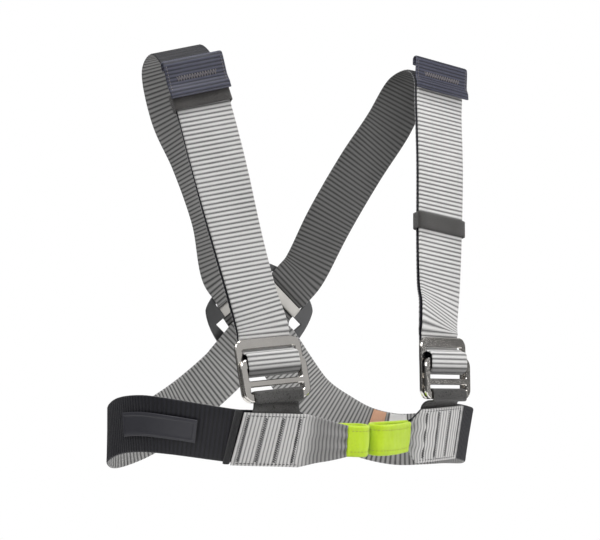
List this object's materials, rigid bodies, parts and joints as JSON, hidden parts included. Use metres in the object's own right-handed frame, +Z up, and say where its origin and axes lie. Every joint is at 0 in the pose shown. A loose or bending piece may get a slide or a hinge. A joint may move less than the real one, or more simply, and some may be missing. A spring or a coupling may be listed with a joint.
{
  "type": "climbing chest harness",
  "caption": "Adjustable chest harness of ribbed webbing: shoulder straps crossing in a back plate, nested metal slide buckles, a chest band and sleeved tie-in loops.",
  "frame": {"origin": "between the shoulders, level with the undersides of the two straps, where the harness rests on its wearer", "axes": "+X to the wearer's left, +Y to the wearer's back, +Z up"},
  "size_m": [0.3147, 0.1896, 0.3532],
  "materials": {
    "webbing_grey": "ribbed woven webbing, light grey face",
    "webbing_navy": "ribbed woven webbing, navy black face with a slight sheen",
    "elastic_dark": "matte dark woven elastic and tape",
    "buckle_metal": "polished steel with rounded edges",
    "plate_dark": "moulded plastic, dark rim and light bars",
    "lime_sleeve": "woven tube, lime green",
    "badge_rubber": "moulded soft badge with a raised border, left bare",
    "label_white": "satin label",
    "label_orange": "satin label end"
  },
  "bodies": {
    "root": {"shoulder_strap_right": "webbing_grey", "shoulder_strap_left": "webbing_grey", "tail_right": "webbing_grey", "tail_left": "webbing_grey", "front_patch_right": "webbing_grey", "front_patch_left": "webbing_grey", "chest_band_right": "webbing_navy", "chest_band_left": "webbing_navy", "tail_end_right": "webbing_navy", "tail_end_left": "webbing_navy", "keeper_right": "elastic_dark", "keeper_left": "elastic_dark", "buckle_anchor_right": "elastic_dark", "buckle_anchor_left": "elastic_dark", "buckle_frame_right": "buckle_metal", "buckle_frame_left": "buckle_metal", "buckle_slider_right": "buckle_metal", "buckle_slider_left": "buckle_metal", "tie_in_loop_right": "lime_sleeve", "tie_in_loop_left": "lime_sleeve", "back_plate": "plate_dark", "badge": "badge_rubber", "binding_strip": "elastic_dark", "care_label": "label_white", "label_tab": "label_orange"}
  },
  "joints": []
}
